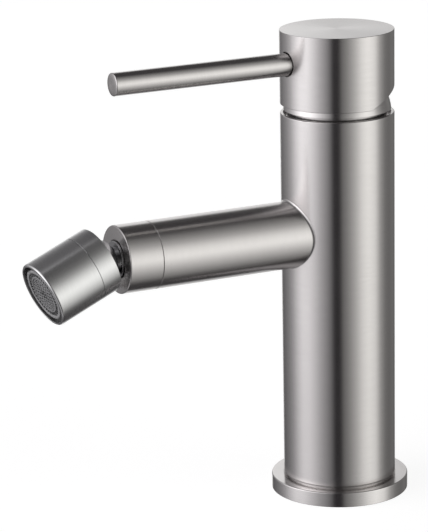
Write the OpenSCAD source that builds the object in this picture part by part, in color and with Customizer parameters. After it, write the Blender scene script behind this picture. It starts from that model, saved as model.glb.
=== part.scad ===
// Single lever bidet mixer with a ball jointed nozzle.
// Origin on the deck at the centre of the base, +Z up, spout and lever towards -Y.
// All lengths are in millimetres and all angles in degrees.

/* [Body] */
// Outer diameter of the body tube and of the handle cap
body_d = 45; // [43:0.5:50]
// Wall of the body tube
body_wall = 2.3; // [1.8:0.1:2.8]
// Height of the body rim above the deck
rim_h = 155.2; // [148:0.2:185]
// Radius of the mouth at the rim, which takes the dome cover
mouth_r = 21.2; // [20.8:0.1:21.4]
// Depth of the mouth below the rim
mouth_depth = 3.9; // [3:0.1:5]

/* [Base] */
// Diameter of the base flange
flange_d = 55; // [54:0.5:70]
// Thickness of the base flange
flange_t = 6; // [5:0.5:12]
// Thickness of the lip that the body tube stands on
flange_lip_t = 2.6; // [2.4:0.1:3.5]
// Width of the lip under the core
flange_lip_w = 1.2; // [0.8:0.1:2]
// Width of the deck gasket as a share of the width of the flange's foot
gasket_share = 0.42; // [0.3:0.02:0.46]
// Thickness of the deck gasket
gasket_t = 1.8; // [1.2:0.1:2]
// Distance of the deck gasket from the edge of the flange
gasket_margin = 1.5; // [1:0.1:2]
// Height of the deck gasket's underside above the deck
gasket_sink = 0.2; // [0.05:0.05:0.3]

/* [Water ways] */
// Height of the base block of the core, with the hose inlets
core_base_h = 25; // [20:1:40]
// Radius of the core between its two blocks
core_waist_r = 14.5; // [13.5:0.5:18]
// Depth of the core's upper block below the nipple's thread
nipple_wall = 7; // [5:0.5:10]
// Distance of each inlet from the middle plane
inlet_x = 7.5; // [6.8:0.1:8]
// Distance of both inlets behind the body axis
inlet_y = 4.5; // [3.5:0.1:5]
// Radius of the threaded hose inlet, cut for an M10x1 hose end
inlet_thread_r = 4.5; // [4:0.1:4.8]
// Depth of the threaded hose inlet
inlet_depth = 13; // [10:1:18]
// Radius of the rising water channels
channel_r = 3; // [2.5:0.1:3.3]
// Radius of the threaded stud hole in the base, cut for an M8 stud
stud_hole_r = 3.4; // [2.5:0.1:4]
// Depth of the threaded stud hole
stud_hole_depth = 18; // [12:1:19]
// Distance of the stud hole in front of the body axis
stud_hole_y = 9.5; // [8.5:0.5:12]
// Radius of the mixed water channel below the cartridge
outlet_channel_r = 3.4; // [2.5:0.1:3.6]
// Distance of the mixed water channel in front of the body axis
outlet_y = 8.2; // [7.5:0.1:9]

/* [Spout] */
// Distance from the body rim down to the spout axis
spout_drop = 47.2; // [45:0.2:60]
// Outer diameter of the spout
spout_d = 26.6; // [25.6:0.2:28]
// Wall of the spout tube
spout_wall = 1.5; // [1.2:0.1:2]
// Distance from the body axis to the end face of the spout
spout_reach = 96.8; // [85:0.2:130]
// Length of the end piece of the spout
spout_end_l = 14; // [13:0.5:18]
// Length of the end piece's spigot inside the spout tube
spigot_l = 9; // [7:0.5:12]
// Wall of the end piece's spigot inside its O-ring
spigot_wall = 0.9; // [0.7:0.1:1.2]
// Thickness of the end piece's wall, which holds the ball stud
end_wall = 5.5; // [5:0.1:6.5]
// Radius of the nipple's thread in the core
nipple_r = 7.4; // [6.5:0.1:7.6]
// Radius of the water way through the nipple
nipple_bore_r = 5; // [4:0.1:5.4]
// Length of the nipple's head in the spout tube
nipple_head_l = 8.7; // [7:0.1:12]
// Distance between the body and the nipple's head
nipple_head_gap = 1.8; // [1:0.1:3]
// Section radius of the spout's O-rings
oring_r = 0.75; // [0.6:0.05:0.9]

/* [Ball joint] */
// Radius of the ball
ball_r = 9.1; // [8.6:0.1:9.3]
// Distance from the spout's end face to the centre of the ball
ball_reach = 9.2; // [9.2:0.1:11]
// Radius of the ball stud's collar
collar_r = 7.4; // [7.2:0.1:8]
// Height that the collar stands out of the spout's end face
collar_out = 0.9; // [0.4:0.1:1.2]
// Depth of the collar's seat in the end face
collar_seat = 0.9; // [0.5:0.1:1.5]
// Gap round the collar in its seat
collar_gap = 0.2; // [0.1:0.05:0.3]
// Radius of the ball stud's thread in the end piece
shank_r = 6.9; // [6:0.1:7]
// Length of the ball stud's thread
shank_l = 9.5; // [8:0.5:10]
// Radius of the neck behind the ball
neck_r = 5; // [4.4:0.1:5.2]
// Radius of the water way through the ball stud
ball_bore_r = 3.2; // [2.5:0.1:3.6]
// Thickness of the seat ring in front of the ball
seat_t = 1.3; // [1:0.1:1.5]
// Angle from the spout axis to the seat ring's inner edge
seat_inner_angle = 34; // [30:1:40]
// Gap between the seat ring and the sleeve's spigot
seat_gap = 0.3; // [0.2:0.05:0.4]
// Furthest tilt of the nozzle from the spout axis, to any side
tilt_max = 25; // [23:1:26]
// Extra tilt that the hole in front of the ball leaves free
tilt_margin = 2; // [1:0.5:4]

/* [Nozzle] */
// Tilt of the nozzle below level, as it stands
nozzle_tilt = 22; // [0:1:24]
// Turn of the nozzle towards +X, as it stands
nozzle_yaw = 4.4; // [0:0.2:6]
// Outer diameter of the nozzle
nozzle_d = 26.5; // [26:0.1:27]
// Distance from the centre of the ball back to the nozzle's rear face
nozzle_rear = 3; // [2.6:0.1:3.1]
// Distance from the centre of the ball to the front face of the nozzle
nozzle_front = 24.6; // [24:0.2:34]
// Length of the socket ring at the rear of the nozzle
ring_l = 7.7; // [7.2:0.1:9]
// Depth of the step by which the socket ring is smaller than the nozzle
ring_step = 0.1; // [0.05:0.05:0.2]
// Radius of the thread between the socket ring and the nozzle sleeve
nozzle_thread_r = 11.65; // [11.5:0.05:11.8]
// Distance from the centre of the ball to the rear end of the sleeve's spigot
sleeve_spigot_z = 0.9; // [0.6:0.1:1.2]
// Radius of the nozzle's mouth round the aerator
mouth_inner_r = 11.5; // [11.2:0.1:11.8]
// Width of the chamfer inside the mouth
mouth_chamfer = 0.9; // [0.4:0.1:1]
// Depth of the gap round the aerator
mouth_gap_depth = 2; // [1:0.1:3]

/* [Aerator] */
// Radius of the aerator's housing
aerator_r = 10.5; // [10:0.1:10.8]
// Depth of the aerator's front behind the nozzle's front face
aerator_recess = 0.3; // [0.1:0.1:0.6]
// Length of the aerator's housing
aerator_l = 9; // [8.5:0.1:9.2]
// Wall of the aerator's housing
aerator_wall = 1.2; // [1:0.1:1.4]
// Width of the lip at the front of the housing
aerator_lip = 0.45; // [0.3:0.05:0.6]
// Thickness of the grille's flange behind the lip
grille_flange_t = 1; // [0.8:0.1:1.5]
// Thickness of the lip at the front of the housing
aerator_lip_t = 1.4; // [1:0.1:2]
// Depth of the grille behind the front of the housing
grille_recess = 0.1; // [0:0.05:0.3]
// Radius of the grille's outer ring of holes
grille_ring_r = 7.9; // [7.6:0.1:8]
// Number of holes in the grille's outer ring
grille_ring_n = 30; // [24:1:34]
// Radius of a hole in the grille's outer ring
grille_ring_hole_r = 0.5; // [0.4:0.05:0.6]
// Radius of a hole in the grille's inner rings
grille_hole_r = 0.38; // [0.25:0.01:0.42]
// Distance between the grille's inner rings of holes
grille_pitch = 1.5; // [1.4:0.05:1.55]
// Number of inner rings of holes
grille_rings = 4; // [2:1:4]
// Thickness of the diffuser plate
diffuser_t = 1.8; // [1:0.1:2.5]
// Gap between the grille and the diffuser plate
diffuser_gap = 1.2; // [0.8:0.1:1.5]
// Radius of a hole in the diffuser plate and in the filter screen
plate_hole_r = 0.6; // [0.4:0.1:0.8]
// Radius of the diffuser's outer ring of holes
diffuser_outer_ring_r = 7.4; // [6.5:0.1:7.8]
// Number of holes in the diffuser's outer ring
diffuser_outer_n = 16; // [12:1:20]
// Radius of the diffuser's inner ring of holes
diffuser_inner_ring_r = 4.6; // [3.5:0.1:4.8]
// Number of holes in the diffuser's inner ring
diffuser_inner_n = 10; // [6:1:12]
// Thickness of the filter screen
filter_t = 0.8; // [0.5:0.1:1.2]
// Gap between the filter screen and the gasket behind it
filter_gap = 0.6; // [0.3:0.1:0.8]
// Number of rings of holes in the filter screen
filter_rings = 3; // [2:1:3]
// Thickness of the gasket behind the aerator
aerator_gasket_t = 1.8; // [1.2:0.1:2]
// Inner radius of the gasket behind the aerator
aerator_gasket_inner_r = 7.6; // [7:0.1:8.2]

/* [Handle] */
// Height of the handle cap
cap_h = 29.2; // [28:0.1:39]
// Height of the cap's lower edge above the body rim
cap_gap = 3.6; // [3.2:0.1:4]
// Slope of the cut under the rear of the cap, which lets it tilt
relief_angle = 23.1; // [23:0.1:26]
// Distance behind the body axis where the cut starts
relief_start = 3; // [0:0.2:3]
// Distance from the cap's top down to the lever axis
lever_drop = 12; // [11.5:0.1:12.4]
// Diameter of the lever
lever_d = 9; // [7:0.5:9.5]
// Distance from the body axis to the tip of the lever
lever_reach = 96.6; // [80:0.2:130]
// Depth of the lever's seat in the cap
lever_seat = 2; // [1:0.1:3]
// Gap round the lever in its seat
lever_gap = 0.15; // [0.05:0.05:0.3]
// Radius of the lever's threaded end
lever_thread_r = 2.5; // [2:0.1:2.6]
// Length of the lever's threaded end
lever_thread_l = 12; // [8:0.5:13]
// Radius of the set screw behind the spindle
set_screw_r = 2.5; // [2:0.1:2.6]
// Length of the set screw
set_screw_l = 10; // [8:0.5:14]
// Radius of the bore in the set screw's end for its key
set_screw_key_r = 1.3; // [1:0.1:1.5]
// Furthest lift of the lever above level
lift_max = 25; // [20:1:25]

/* [Dome cover] */
// Height of the pivot of the lever's lift below the rim
pivot_drop = 1.2; // [1:0.1:1.4]
// Wall of the dome cover
dome_wall = 1.4; // [1:0.1:1.6]
// How far the dome's radius passes that of the mouth
dome_overhang = 0.2; // [0.1:0.05:0.3]
// Height of the dome's lower edge above the rim
dome_gap = 1.2; // [0.8:0.1:1.6]
// Radius of the neck under the dome's lower edge
dome_neck_r = 19.6; // [19.2:0.1:20]
// Height of the dome's top edge above the pivot
dome_top = 12.2; // [11:0.1:12.4]
// Distance from the pivot down to the top of the dome's skirt
dome_skirt_drop = 0.4; // [0.2:0.1:0.8]

/* [Cartridge] */
// Radius of the cartridge
cartridge_r = 17.4; // [17.2:0.1:17.5]
// Height of the cartridge from its foot to its shoulder
cartridge_h = 21.4; // [21:0.1:22]
// Wall of the cartridge's housing
cartridge_wall = 2.2; // [1.8:0.1:2.3]
// Thickness of the shoulder inside the housing
shoulder_t = 1.9; // [1.5:0.1:2.2]
// Outer radius of the housing's neck
neck_outer_r = 13.6; // [13.2:0.1:13.8]
// Bore of the housing's neck, in which the rotor turns
neck_bore_r = 12; // [11.8:0.1:12.2]
// Height of the housing's neck above the pivot
neck_top = 3.5; // [2.5:0.1:4]
// Thickness of the cartridge nut
nut_t = 3.5; // [3:0.1:4.5]
// Length of the nut's skirt round the cartridge
nut_skirt_l = 4.5; // [3:0.1:6]
// Width of a notch in the nut for its key
notch_w = 3; // [2:0.5:4]
// Depth of a notch in the nut
notch_depth = 1.5; // [1:0.1:2.5]
// Wall between a notch and the nut's bore
notch_wall = 1.4; // [1:0.1:2]
// Depth of the core's cup round the cartridge
cup_depth = 8; // [6:0.5:9]
// Thickness of the cartridge foot's flange
foot_flange_t = 2.4; // [2.2:0.1:3]
// Height of the cartridge foot
foot_h = 6.3; // [6:0.1:6.6]
// Gap under the cartridge foot, which its seals bridge
foot_gap = 0.2; // [0.05:0.05:0.3]
// Thickness of the fixed ceramic disc
fixed_disc_t = 3.6; // [3:0.1:3.8]
// Radius of the fixed ceramic disc
fixed_disc_r = 14.6; // [13:0.1:14.9]
// Thickness of the moving ceramic disc
moving_disc_t = 3; // [2.6:0.1:3.2]
// Radius of the moving ceramic disc
moving_disc_r = 10.6; // [10:0.1:11]
// Radius of the mixing chamber under the moving disc
chamber_r = 6.4; // [5.5:0.1:7]
// Thickness of the moving disc over its chamber
chamber_roof = 1; // [0.8:0.1:1.5]
// Thickness of the carrier on the moving disc
carrier_t = 4.95; // [4.8:0.05:5.1]
// Height of the rotor above the housing's neck
rotor_out = 0.4; // [0.2:0.1:0.8]
// Gap at the ends of the rotor's slot with the spindle fully tilted
slot_end_gap = 1; // [0.5:0.1:1.5]
// Radius of the ball at the foot of the spindle
drive_ball_r = 2.4; // [2.2:0.1:2.4]
// Radius of the spindle's neck above that ball
drive_neck_r = 1.7; // [1.4:0.1:1.7]
// Radius of the spindle at the pivot
spindle_r = 4; // [3.6:0.1:4.2]
// Depth of the spindle's round part below the pivot
spindle_low = 4.6; // [4.3:0.1:5]
// Height of the spindle's round part above the pivot
spindle_high = 6; // [5:0.5:8]
// Width of the spindle's square end in the cap
spindle_square = 8; // [7:0.1:8.4]
// Height of the spindle's top above the pivot
spindle_top = 29; // [27:0.5:30]
// Radius of the pivot pin
pivot_pin_r = 1.5; // [1.2:0.1:1.8]
// Distance of the pivot pin's ends inside the rotor's side
pivot_pin_inset = 0.6; // [0.3:0.1:1]
// Section radius of the port seals
port_seal_r = 0.6; // [0.5:0.05:0.65]
// Distance from a port to the seal round it
port_seal_gap = 0.3; // [0.2:0.05:0.4]

/* [Clearances] */
// Clearance of a piece that slips into another
slip = 0.05; // [0.02:0.01:0.06]
// Clearance of a piece that is pressed into another
press = 0.02; // [0.01:0.01:0.03]
// Clearance of a piece that passes another without guiding it
loose = 0.2; // [0.15:0.05:0.3]
// Radial clearance of a running fit
running = 0.05; // [0.03:0.01:0.08]
// Clearance of the ball in its socket
ball_clear = 0.1; // [0.08:0.01:0.12]
// Clearance of the ball at the foot of the spindle
drive_clear = 0.12; // [0.08:0.01:0.15]
// Clearance between the dome cover and what moves or stands round it
dome_clear = 0.35; // [0.3:0.05:0.4]

/* [Edges] */
// Bevel on the body's, the cap's and the spout's edges
edge = 0.4; // [0.1:0.05:0.6]
// Bevel at the seams of the nozzle and of the spout's end
seam_edge = 0.2; // [0.1:0.05:0.3]

/* [Hidden] */

fine = 96;
small = 32;
over = 1;
steel = "#b4b3b0";
chrome = "#c9cbce";
brass = "#b8954e";
ceramic = "#e9e6df";
plastic = "#8f9296";
rubber = "#2c2c2e";

// Body, base and core
body_r = body_d / 2;
bore_r = body_r - body_wall;
mouth_z = rim_h - mouth_depth;
flange_r = flange_d / 2;
core_r = bore_r - slip;
core_z = flange_lip_t + slip;
lip_r = core_r - flange_lip_w;
gasket_outer_r = flange_r - gasket_margin;
gasket_inner_r = gasket_outer_r - gasket_share * (flange_r - lip_r);

// Cartridge, from the nut down
nut_top_z = mouth_z - slip;
shoulder_z = nut_top_z - nut_t;
foot_z = shoulder_z - cartridge_h;
seat_z = foot_z - foot_gap;
inner_r = cartridge_r - cartridge_wall;
ledge_z = shoulder_z - shoulder_t;
fixed_disc_z = foot_z + foot_h;
moving_disc_z = fixed_disc_z + fixed_disc_t + running;
carrier_z = moving_disc_z + moving_disc_t;
rotor_z = carrier_z + carrier_t + running;
rotor_flange_top_z = ledge_z - 2 * running;
pivot_z = rim_h - pivot_drop;
drive_ball_z = carrier_z + drive_ball_r + slip;
drive_arm = pivot_z - drive_ball_z;
disc_travel = drive_arm * sin(lift_max);
// Each port is its X, its Y and its radius
ports = [[-inlet_x, inlet_y, channel_r], [inlet_x, inlet_y, channel_r], [0, -outlet_y, outlet_channel_r]];
seal_groove_w = port_seal_r + slip;

// Dome and cap
dome_r = mouth_r + dome_overhang;
dome_low_z = rim_h + dome_gap;
dome_edge_r = sqrt(pow(dome_r, 2) - pow(dome_top, 2));
cap_z = rim_h + cap_gap;
cap_top_z = cap_z + cap_h;
cavity_r = dome_r + dome_clear;
ceiling_z = pivot_z + dome_edge_r * sin(lift_max) + dome_top * cos(lift_max) + dome_clear;
lever_z = cap_top_z - lever_drop;
lever_r = lever_d / 2;
lever_shoulder = sqrt(pow(body_r, 2) - pow(lever_r, 2)) - lever_seat;
socket_half = spindle_square / 2 + slip;
spindle_top_z = pivot_z + spindle_top;

// Spout and ball joint
spout_h = rim_h - spout_drop;
spout_r = spout_d / 2;
spout_bore_r = spout_r - spout_wall;
spigot_r = spout_bore_r - slip;
spout_seam = spout_reach - spout_end_l;
nipple_start = outlet_y + outlet_channel_r;
nipple_head = body_r + nipple_head_gap;
nipple_end = nipple_head + nipple_head_l;
end_cavity_r = spigot_r - 2 * oring_r - slip - spigot_wall;
ball_at = spout_reach + ball_reach;
socket_r = ball_r + ball_clear;
seat_outer_r = socket_r + seat_t;
recess_r = seat_outer_r + ball_clear;
seat_low = seat_outer_r * cos(acos((sleeve_spigot_z + seat_gap) / seat_outer_r) - tilt_max);

// Nozzle, along its own axis from the centre of the ball
nozzle_r = nozzle_d / 2;
ring_r = nozzle_r - ring_step;
ring_front = ring_l - nozzle_rear;
sleeve_spigot_r = nozzle_thread_r - slip;
recess_hole_r = recess_r * sin(tilt_max + tilt_margin);
aerator_front = nozzle_front - aerator_recess;
aerator_back = aerator_front - aerator_l;
aerator_bore_r = aerator_r + slip;
aerator_inner_r = aerator_r - aerator_wall;
grille_lip_r = aerator_inner_r - aerator_lip;
grille_front = aerator_front - grille_recess;
grille_back = aerator_front - aerator_lip_t - grille_flange_t;
plate_r = aerator_inner_r - slip;
diffuser_front = grille_back - diffuser_gap;
filter_front = aerator_back + filter_t + filter_gap;
gasket_back = aerator_back - aerator_gasket_t;

// A cylinder with bevelled edges
module bevelled(r, h, low = 0, high = 0) {
    rotate_extrude($fn = fine)
        polygon([[0, 0], [r - low, 0], [r, low], [r, h - high], [r - high, h], [0, h]]);
}

// A ring of round section, flat on the XY plane
module torus(ring_radius, section_r) {
    rotate_extrude($fn = fine) translate([ring_radius, 0]) circle(r = section_r, $fn = small);
}

// A plain ring
module ring(outer, inner, h) {
    difference() {
        cylinder(r = outer, h = h, $fn = fine);
        translate([0, 0, -over]) cylinder(r = inner, h = h + 2 * over, $fn = fine);
    }
}

// A hole of radius r through a height h that overruns both ends
module hole(r, h) {
    translate([0, 0, -over]) cylinder(r = r, h = h + 2 * over, $fn = r > 5 ? fine : small);
}

// Places a shape on the spout axis, at a distance from the body axis, with its Z outwards
module on_spout(distance) {
    translate([0, -distance, spout_h]) rotate([90, 0, 0]) children();
}

// Places a shape at the ball, with its Z along the nozzle
module on_nozzle() {
    translate([0, -ball_at, spout_h]) rotate([90 + nozzle_tilt, 0, nozzle_yaw]) children();
}

module base_flange() {
    color(steel) difference() {
        bevelled(flange_r, flange_t, seam_edge, edge);
        translate([0, 0, flange_lip_t]) cylinder(r = body_r + slip, h = flange_t, $fn = fine);
        hole(lip_r, flange_t);
        translate([0, 0, -over]) ring(gasket_outer_r + slip, gasket_inner_r - slip,
                                      gasket_t + gasket_sink + slip + over);
    }
}

module base_gasket() {
    color(rubber) translate([0, 0, gasket_sink]) ring(gasket_outer_r, gasket_inner_r, gasket_t);
}

module body_tube() {
    color(steel) difference() {
        translate([0, 0, flange_lip_t]) bevelled(body_r, rim_h - flange_lip_t, 0, edge);
        hole(bore_r, rim_h);
        translate([0, 0, mouth_z]) cylinder(r = mouth_r, h = mouth_depth + over, $fn = fine);
        on_spout(0) cylinder(r = nipple_r + 2 * slip, h = body_r + over, $fn = fine);
    }
}

module valve_core() {
    core_top = seat_z + cup_depth;
    upper_z = spout_h - nipple_r - nipple_wall;
    color(brass) difference() {
        union() {
            translate([0, 0, core_z]) cylinder(r = core_r, h = core_base_h, $fn = fine);
            cylinder_between(core_waist_r, core_z + core_base_h - over, upper_z + over);
            translate([0, 0, upper_z]) cylinder(r = core_r, h = core_top - upper_z, $fn = fine);
        }
        translate([0, 0, seat_z]) cylinder(r = cartridge_r + slip, h = cup_depth + over, $fn = fine);
        for (side = [-1, 1]) translate([side * inlet_x, inlet_y, 0]) {
            hole(inlet_thread_r, core_z + inlet_depth - over);
            hole(channel_r, seat_z);
        }
        translate([0, -stud_hole_y, 0]) hole(stud_hole_r, core_z + stud_hole_depth - over);
        translate([0, -outlet_y, spout_h]) cylinder(r = outlet_channel_r, h = seat_z, $fn = small);
        on_spout(nipple_start) cylinder(r = nipple_r + slip, h = body_r, $fn = fine);
        on_spout(outlet_y) cylinder(r = outlet_channel_r, h = body_r, $fn = small);
    }
}

// A plain cylinder on the body axis between two heights
module cylinder_between(r, low, high) {
    translate([0, 0, low]) cylinder(r = r, h = high - low, $fn = fine);
}

module spout_nipple() {
    color(brass) difference() {
        union() {
            on_spout(nipple_start + slip)
                cylinder(r = nipple_r, h = nipple_head - nipple_start, $fn = fine);
            on_spout(nipple_head) bevelled(spigot_r, nipple_head_l, seam_edge, seam_edge);
        }
        on_spout(0) cylinder(r = nipple_bore_r, h = nipple_end + over, $fn = fine);
        on_spout(nipple_head + nipple_head_l / 2) oring_groove();
    }
}

// The groove of an O-ring in a spigot of the spout's bore, centred on the XY plane
module oring_groove() {
    translate([0, 0, -oring_r - slip])
        ring(spout_r, spigot_r - 2 * oring_r - slip, 2 * (oring_r + slip));
}

// An O-ring that lies in such a groove
module spigot_oring() {
    torus(spigot_r - oring_r, oring_r);
}

module nipple_oring() {
    color(rubber) on_spout(nipple_head + nipple_head_l / 2) spigot_oring();
}

module spout_tube() {
    color(steel) difference() {
        on_spout(0) bevelled(spout_r, spout_seam, 0, seam_edge);
        on_spout(-over) cylinder(r = spout_bore_r, h = spout_seam + 2 * over, $fn = fine);
        cylinder_between(body_r + slip, 0, rim_h);
    }
}

module spout_end() {
    color(steel) difference() {
        union() {
            on_spout(spout_seam) bevelled(spout_r, spout_end_l, seam_edge, edge);
            on_spout(spout_seam - spigot_l) bevelled(spigot_r, spigot_l + over, seam_edge, 0);
        }
        on_spout(spout_seam - spigot_l - over)
            cylinder(r = end_cavity_r, h = spigot_l + spout_end_l - end_wall + over, $fn = fine);
        on_spout(spout_seam) cylinder(r = shank_r + slip, h = spout_end_l + over, $fn = fine);
        on_spout(spout_reach - collar_seat)
            cylinder(r = collar_r + collar_gap, h = collar_seat + over, $fn = fine);
        on_spout(spout_seam - spigot_l / 2) oring_groove();
    }
}

module spout_end_oring() {
    color(rubber) on_spout(spout_seam - spigot_l / 2) spigot_oring();
}

module ball_stud() {
    shank_end = spout_reach - collar_seat + slip;
    collar_h = collar_seat + collar_out - slip;
    color(chrome) difference() {
        union() {
            on_spout(shank_end - shank_l) bevelled(shank_r, shank_l + over / 2, seam_edge, 0);
            on_spout(shank_end) bevelled(collar_r, collar_h, 0, seam_edge);
            on_spout(shank_end) cylinder(r = neck_r, h = ball_at - shank_end, $fn = fine);
            on_spout(ball_at) sphere(r = ball_r, $fn = fine);
        }
        on_spout(0) cylinder(r = ball_bore_r, h = ball_at + ball_r + over, $fn = fine);
    }
}

// The foot of the cartridge, with its ports and the grooves of their seals
module cartridge_foot() {
    color(plastic) difference() {
        union() {
            translate([0, 0, foot_z]) cylinder(r = cartridge_r - slip, h = foot_flange_t, $fn = fine);
            translate([0, 0, foot_z]) cylinder(r = inner_r - slip, h = foot_h, $fn = fine);
        }
        port_holes(foot_z, foot_h);
        seal_grooves(foot_z - over, over + 2 * port_seal_r - foot_gap + slip + press);
        seal_grooves(fixed_disc_z - 2 * port_seal_r - slip, 2 * port_seal_r + slip + over);
    }
}

// The three ports of the cartridge, through a height h
module port_holes(z, h) {
    for (port = ports) translate([port[0], port[1], z]) hole(port[2], h);
}

// Ring shaped grooves round the ports
module seal_grooves(z, h) {
    for (port = ports) translate([port[0], port[1], z])
        ring(seal_radius(port) + seal_groove_w, seal_radius(port) - seal_groove_w, h);
}

// The mean radius of the seal round a port
function seal_radius(port) = port[2] + port_seal_gap + port_seal_r;

// Three seals whose lowest points lie at height z
module port_seals(z) {
    for (port = ports) translate([port[0], port[1], z + port_seal_r])
        torus(seal_radius(port), port_seal_r);
}

module foot_seals() {
    color(rubber) port_seals(seat_z + press);
}

module disc_seals() {
    color(rubber) port_seals(fixed_disc_z - 2 * port_seal_r - press);
}

module cartridge_housing() {
    color(plastic) difference() {
        union() {
            cylinder_between(cartridge_r - slip, foot_z + foot_flange_t, shoulder_z);
            cylinder_between(neck_outer_r, shoulder_z - over, pivot_z + neck_top);
        }
        cylinder_between(inner_r, foot_z, ledge_z);
        cylinder_between(neck_bore_r, foot_z, pivot_z + neck_top + over);
    }
}

module fixed_disc() {
    color(ceramic) difference() {
        cylinder_between(fixed_disc_r, fixed_disc_z, fixed_disc_z + fixed_disc_t);
        port_holes(fixed_disc_z, fixed_disc_t);
    }
}

module moving_disc() {
    color(ceramic) translate([0, disc_travel / 2, moving_disc_z]) difference() {
        cylinder(r = moving_disc_r, h = moving_disc_t, $fn = fine);
        translate([0, 0, -over]) cylinder(r = chamber_r, h = moving_disc_t - chamber_roof + over, $fn = fine);
    }
}

module disc_carrier() {
    color(plastic) difference() {
        translate([0, disc_travel / 2, carrier_z]) cylinder(r = moving_disc_r, h = carrier_t, $fn = fine);
        translate([0, 0, carrier_z])
            cylinder(r = drive_ball_r + drive_clear, h = carrier_t + over, $fn = fine);
    }
}

module cartridge_rotor() {
    top_z = pivot_z + neck_top + rotor_out;
    slot_x = spindle_r + loose;
    slot_front = disc_travel + drive_neck_r + slot_end_gap;
    slot_rear = spindle_r / cos(lift_max) + (top_z - pivot_z) * tan(lift_max) + slot_end_gap;
    color(plastic) difference() {
        union() {
            cylinder_between(inner_r - loose, rotor_z, rotor_flange_top_z);
            cylinder_between(neck_bore_r - running, rotor_z, top_z);
        }
        translate([-slot_x, -slot_front, rotor_z - over])
            cube([2 * slot_x, slot_front + slot_rear, top_z - rotor_z + 2 * over]);
        translate([-neck_bore_r, 0, pivot_z]) rotate([0, 90, 0])
            cylinder(r = pivot_pin_r + press, h = 2 * neck_bore_r, $fn = small);
    }
}

module pivot_pin() {
    pin_half = neck_bore_r - pivot_pin_inset;
    color(chrome) translate([-pin_half, 0, pivot_z]) rotate([0, 90, 0])
        cylinder(r = pivot_pin_r, h = 2 * pin_half, $fn = small);
}

module spindle() {
    barrel_z = pivot_z - spindle_low;
    square_z = pivot_z + spindle_high;
    color(steel) difference() {
        union() {
            translate([0, 0, drive_ball_z]) sphere(r = drive_ball_r, $fn = fine);
            cylinder_between(drive_neck_r, drive_ball_z, barrel_z + over);
            cylinder_between(spindle_r, barrel_z, square_z + over);
            translate([-spindle_square / 2, -spindle_square / 2, square_z])
                cube([spindle_square, spindle_square, spindle_top_z - square_z]);
        }
        translate([-spindle_square, 0, pivot_z]) rotate([0, 90, 0])
            cylinder(r = pivot_pin_r + running, h = 2 * spindle_square, $fn = small);
    }
}

module cartridge_nut() {
    color(brass) difference() {
        cylinder_between(core_r, shoulder_z - nut_skirt_l, nut_top_z);
        cylinder_between(cartridge_r + slip, shoulder_z - nut_skirt_l - over, shoulder_z);
        cylinder_between(neck_outer_r + loose, shoulder_z - over, nut_top_z + over);
        for (turn = [0 : 90 : 270]) rotate([0, 0, turn])
            translate([-notch_w / 2, neck_outer_r + loose + notch_wall, nut_top_z - notch_depth])
                cube([notch_w, notch_w, notch_depth + over]);
    }
}

module dome_cover() {
    skirt_z = mouth_z + slip;
    color(steel) difference() {
        union() {
            cylinder_between(mouth_r - slip, skirt_z, pivot_z - dome_skirt_drop);
            cylinder_between(dome_neck_r, skirt_z, dome_low_z + dome_wall);
            intersection() {
                translate([0, 0, pivot_z]) sphere(r = dome_r, $fn = fine);
                cylinder_between(body_r, dome_low_z, pivot_z + dome_top);
            }
        }
        intersection() {
            translate([0, 0, pivot_z]) sphere(r = dome_r - dome_wall, $fn = fine);
            cylinder_between(body_r, dome_low_z + dome_wall, pivot_z + dome_top);
        }
        cylinder_between(dome_neck_r - dome_wall, skirt_z - over, dome_low_z + dome_wall + over);
        cylinder_between(sqrt(pow(dome_r - dome_wall, 2) - pow(dome_top, 2)),
                         pivot_z + dome_top - over, pivot_z + dome_top + over);
    }
}

// The cap turns with the spindle, covers the dome and is cut away at the rear so that it can tilt
module handle_cap() {
    color(steel) difference() {
        rotate_extrude($fn = fine) polygon([
            [0, cap_z], [body_r - seam_edge, cap_z], [body_r, cap_z + seam_edge],
            [body_r, cap_top_z - edge], [body_r - edge, cap_top_z], [0, cap_top_z]]);
        intersection() {
            translate([0, 0, pivot_z]) sphere(r = cavity_r, $fn = fine);
            cylinder_between(body_r, cap_z - over, ceiling_z);
        }
        translate([-body_r - over, relief_start, cap_z]) rotate([relief_angle, 0, 0])
            translate([0, 0, -2 * body_d]) cube([body_d + 2 * over, 2 * body_d, 2 * body_d]);
        translate([-socket_half, -socket_half, ceiling_z - over])
            cube([2 * socket_half, 2 * socket_half, spindle_top_z + loose - ceiling_z + over]);
        lever_line(lever_shoulder) cylinder(r = lever_r + lever_gap, h = body_r, $fn = fine);
        lever_line(0) cylinder(r = lever_thread_r + slip, h = body_r, $fn = small);
        rotate([0, 0, 180]) lever_line(0) cylinder(r = set_screw_r + slip, h = body_r + over, $fn = small);
    }
}

// Places a shape on the lever's axis, at a distance from the body axis, with its Z outwards
module lever_line(distance) {
    translate([0, -distance, lever_z]) rotate([90, 0, 0]) children();
}

module lever_rod() {
    thread_start = lever_shoulder - lever_thread_l;
    color(steel) union() {
        lever_line(lever_shoulder + slip)
            bevelled(lever_r, lever_reach - lever_shoulder - slip, 0, edge);
        lever_line(thread_start) bevelled(lever_thread_r, lever_thread_l + over, seam_edge, 0);
    }
}

module set_screw() {
    start = spindle_square / 2 + slip;
    color(chrome) rotate([0, 0, 180]) difference() {
        lever_line(start) bevelled(set_screw_r, set_screw_l, seam_edge, seam_edge);
        lever_line(start + set_screw_l / 2) cylinder(r = set_screw_key_r, h = set_screw_l, $fn = small);
    }
}

// A zone of a spherical shell in front of the ball, round the spout axis
module ball_seat() {
    color(rubber) on_spout(ball_at) difference() {
        intersection() {
            sphere(r = seat_outer_r, $fn = fine);
            translate([0, 0, seat_low]) cylinder(r = body_r, h = body_r, $fn = fine);
        }
        sphere(r = socket_r, $fn = fine);
        cylinder(r = seat_outer_r * sin(seat_inner_angle), h = body_r, $fn = fine);
    }
}

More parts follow.
